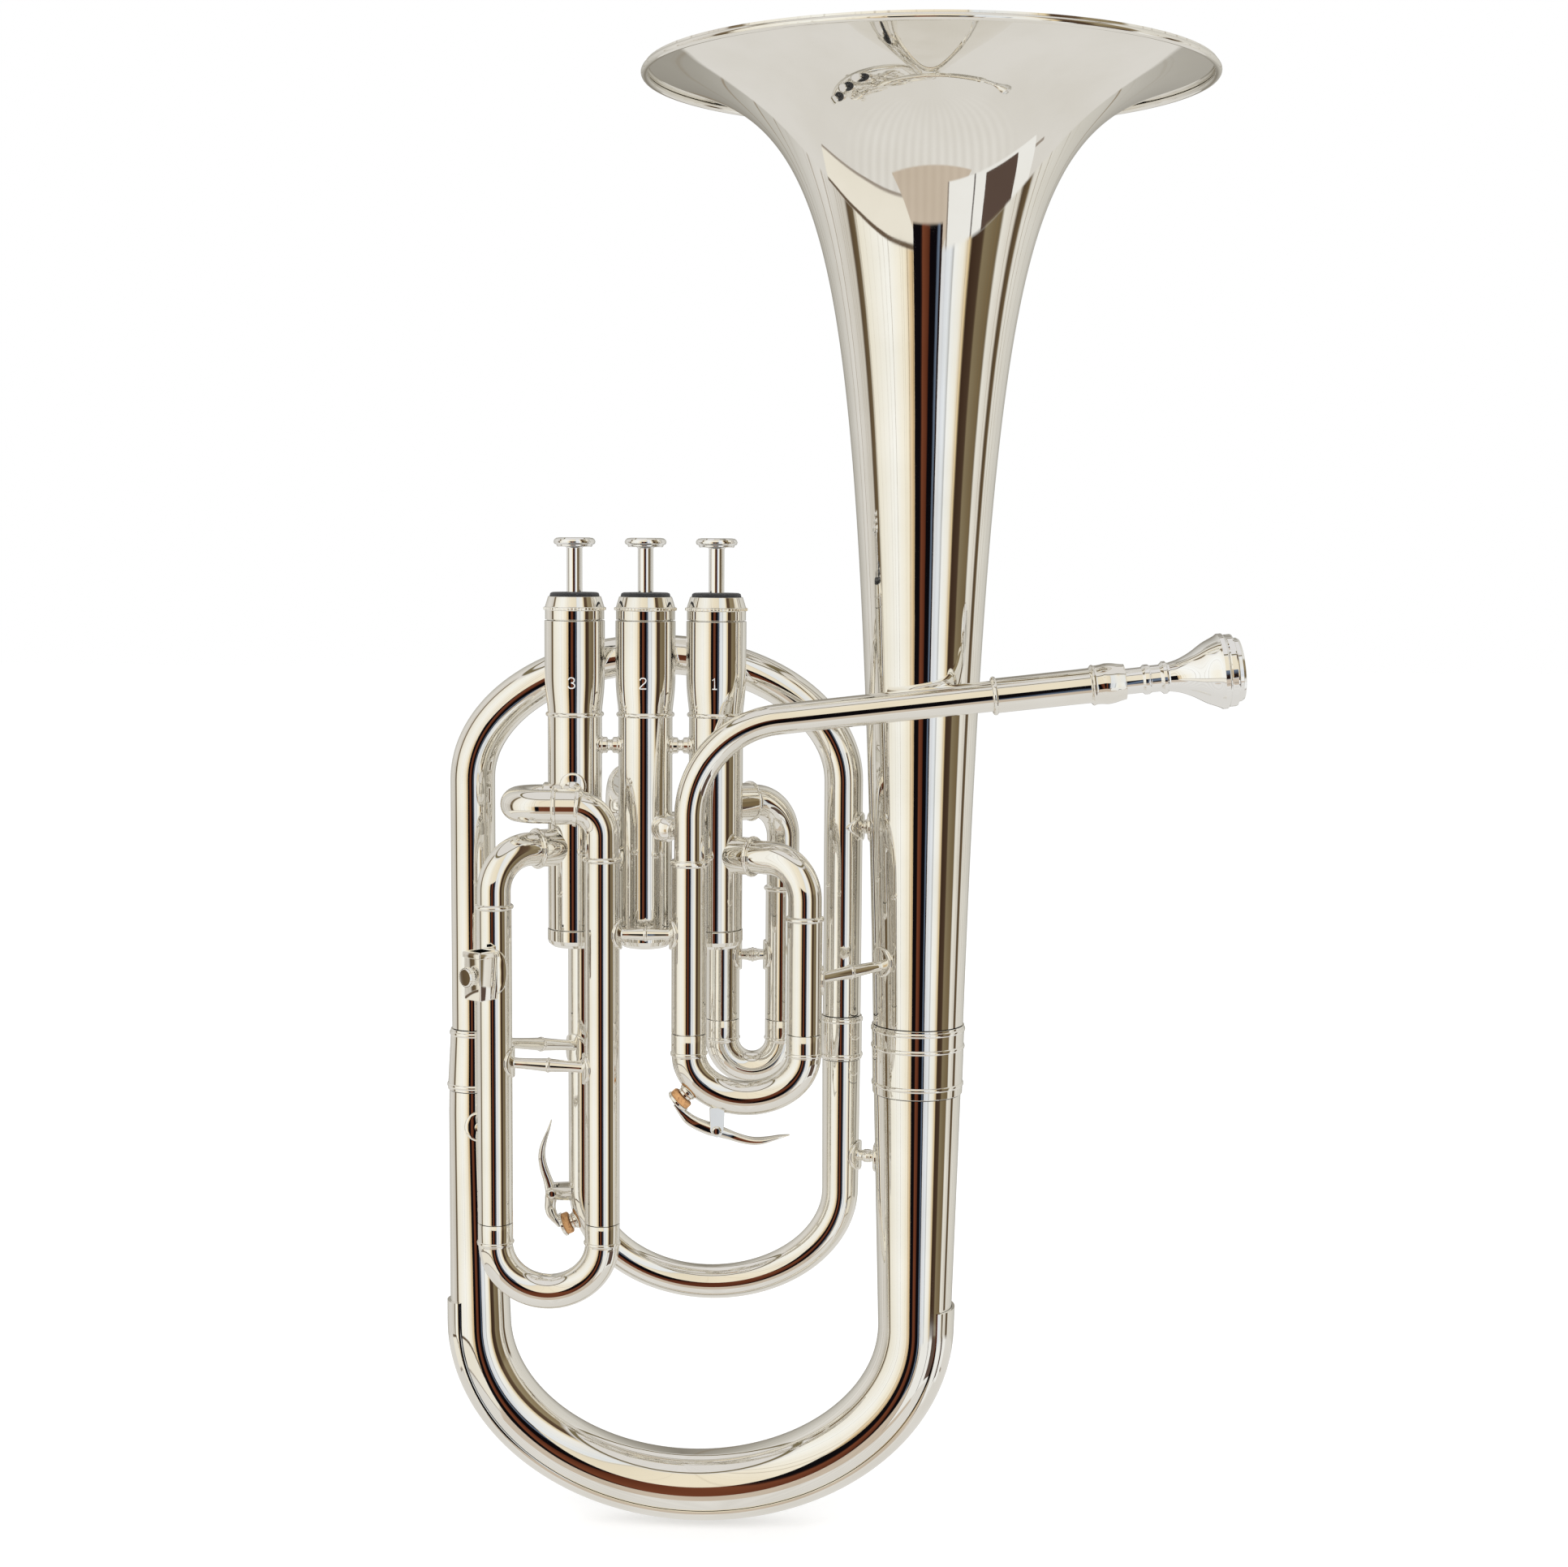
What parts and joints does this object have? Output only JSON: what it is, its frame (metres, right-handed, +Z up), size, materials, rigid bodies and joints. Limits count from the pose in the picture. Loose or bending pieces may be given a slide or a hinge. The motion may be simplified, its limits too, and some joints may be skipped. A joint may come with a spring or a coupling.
{
  "type": "alto horn",
  "caption": "Upright-bell alto horn, silver plated, with top-sprung piston valves, pull-out tuning slides, hinged water keys and a removable mouthpiece.",
  "frame": {"origin": "on valve 2's axis, half way up the ported part of its casing, between the player's hands", "axes": "+Z up along the valves and towards the bell's mouth, +X towards the mouthpiece, +Y away from the side that carries the main and third tuning slides"},
  "size_m": [0.2847, 0.203, 0.5284],
  "materials": {
    "silver_plate": "mirror silver plate on brass",
    "bright_silver_plate": "mirror silver plate on brass",
    "piston_alloy": "lapped nickel alloy",
    "spring_steel": "drawn wire",
    "black_felt": "felt",
    "cork": "cork"
  },
  "bodies": {
    "horn": {"bell": "silver_plate", "bell_ferrule": "silver_plate", "bottom_bow": "silver_plate", "bow_guard": "silver_plate", "left_ferrule": "silver_plate", "top_bow": "silver_plate", "right_ferrule": "silver_plate", "inner_bow": "silver_plate", "casing_1": "silver_plate", "casing_2": "silver_plate", "casing_3": "silver_plate", "top_cap_1": "silver_plate", "top_cap_2": "silver_plate", "top_cap_3": "silver_plate", "bottom_cap_1": "silver_plate", "bottom_cap_2": "silver_plate", "bottom_cap_3": "silver_plate", "leadpipe": "silver_plate", "mouthpiece_receiver": "silver_plate", "tuning_outer_left": "silver_plate", "tuning_outer_right": "silver_plate", "first_outer_left": "silver_plate", "first_outer_right": "silver_plate", "third_outer_left": "silver_plate", "third_outer_right": "silver_plate", "slide_brace": "silver_plate", "third_front_brace": "silver_plate", "third_rear_brace": "silver_plate", "first_brace": "silver_plate", "tuning_bell_brace": "silver_plate", "loop_bell_brace": "silver_plate", "leadpipe_bell_brace": "silver_plate", "ball_brace": "silver_plate", "left_brace": "silver_plate", "lyre_holder": "silver_plate", "valve_guide_1": "piston_alloy", "valve_guide_2": "piston_alloy", "valve_guide_3": "piston_alloy", "valve_spring_1": "spring_steel", "valve_spring_2": "spring_steel", "valve_spring_3": "spring_steel", "felt_1": "black_felt", "felt_2": "black_felt", "felt_3": "black_felt"},
    "valve_1": {"piston_1": "piston_alloy", "finger_button_1": "silver_plate"},
    "valve_2": {"piston_2": "piston_alloy", "finger_button_2": "silver_plate"},
    "valve_3": {"piston_3": "piston_alloy", "finger_button_3": "silver_plate"},
    "tuning_slide": {"tuning_crook": "silver_plate"},
    "water_key_1": {"water_key_lever_1": "silver_plate", "water_key_cork_1": "cork"},
    "first_slide": {"first_crook": "silver_plate"},
    "second_slide": {"second_crook": "silver_plate"},
    "third_slide": {"third_crook": "silver_plate"},
    "water_key_2": {"water_key_lever_2": "silver_plate", "water_key_cork_2": "cork"},
    "mouthpiece": {"mouthpiece": "bright_silver_plate"},
    "lyre_thumb_screw": {"lyre_screw": "silver_plate"}
  },
  "joints": [
    {"name": "valve_1_stroke", "type": "slide", "parent": "horn", "child": "valve_1", "axis": [0, 0, -1], "range_m": [0, 0.015], "stiffness_N_per_m": 120, "springref_m": -0.02, "deforming": ["valve_spring_1"]},
    {"name": "valve_2_stroke", "type": "slide", "parent": "horn", "child": "valve_2", "axis": [0, 0, -1], "range_m": [0, 0.015], "stiffness_N_per_m": 120, "springref_m": -0.02, "deforming": ["valve_spring_2"]},
    {"name": "valve_3_stroke", "type": "slide", "parent": "horn", "child": "valve_3", "axis": [0, 0, -1], "range_m": [0, 0.015], "stiffness_N_per_m": 120, "springref_m": -0.02, "deforming": ["valve_spring_3"]},
    {"name": "tuning_slide_pull", "type": "slide", "parent": "horn", "child": "tuning_slide", "axis": [0, 0, -1], "range_m": [0, 0.03]},
    {"name": "first_slide_pull", "type": "slide", "parent": "horn", "child": "first_slide", "axis": [0, 0, -1], "range_m": [0, 0.035]},
    {"name": "second_slide_pull", "type": "slide", "parent": "horn", "child": "second_slide", "axis": [-0.2419, 0.9703, 0], "range_m": [0, 0.018]},
    {"name": "third_slide_pull", "type": "slide", "parent": "horn", "child": "third_slide", "axis": [0, 0, -1], "range_m": [0, 0.09]},
    {"name": "mouthpiece_pull", "type": "slide", "parent": "horn", "child": "mouthpiece", "axis": [0.9934, 0, 0.1149], "range_m": [0, 0.03]},
    {"name": "water_key_1_hinge", "type": "hinge", "parent": "tuning_slide", "child": "water_key_1", "pos_m": [0.0267, -0.019, -0.1261], "axis": [0, -1, 0], "range_deg": [0, 17], "stiffness_Nm_per_rad": 0.1, "springref_deg": -28.65},
    {"name": "water_key_2_hinge", "type": "hinge", "parent": "horn", "child": "water_key_2", "pos_m": [-0.0354, 0.019, -0.1596], "axis": [0, 1, 0], "range_deg": [0, 9], "stiffness_Nm_per_rad": 0.1, "springref_deg": -28.65},
    {"name": "lyre_thumb_screw_turn", "type": "hinge", "parent": "horn", "child": "lyre_thumb_screw", "pos_m": [-0.05547, -0.03085, -0.0693], "axis": [-0.6691, -0.7431, 0], "continuous": true}
  ]
}
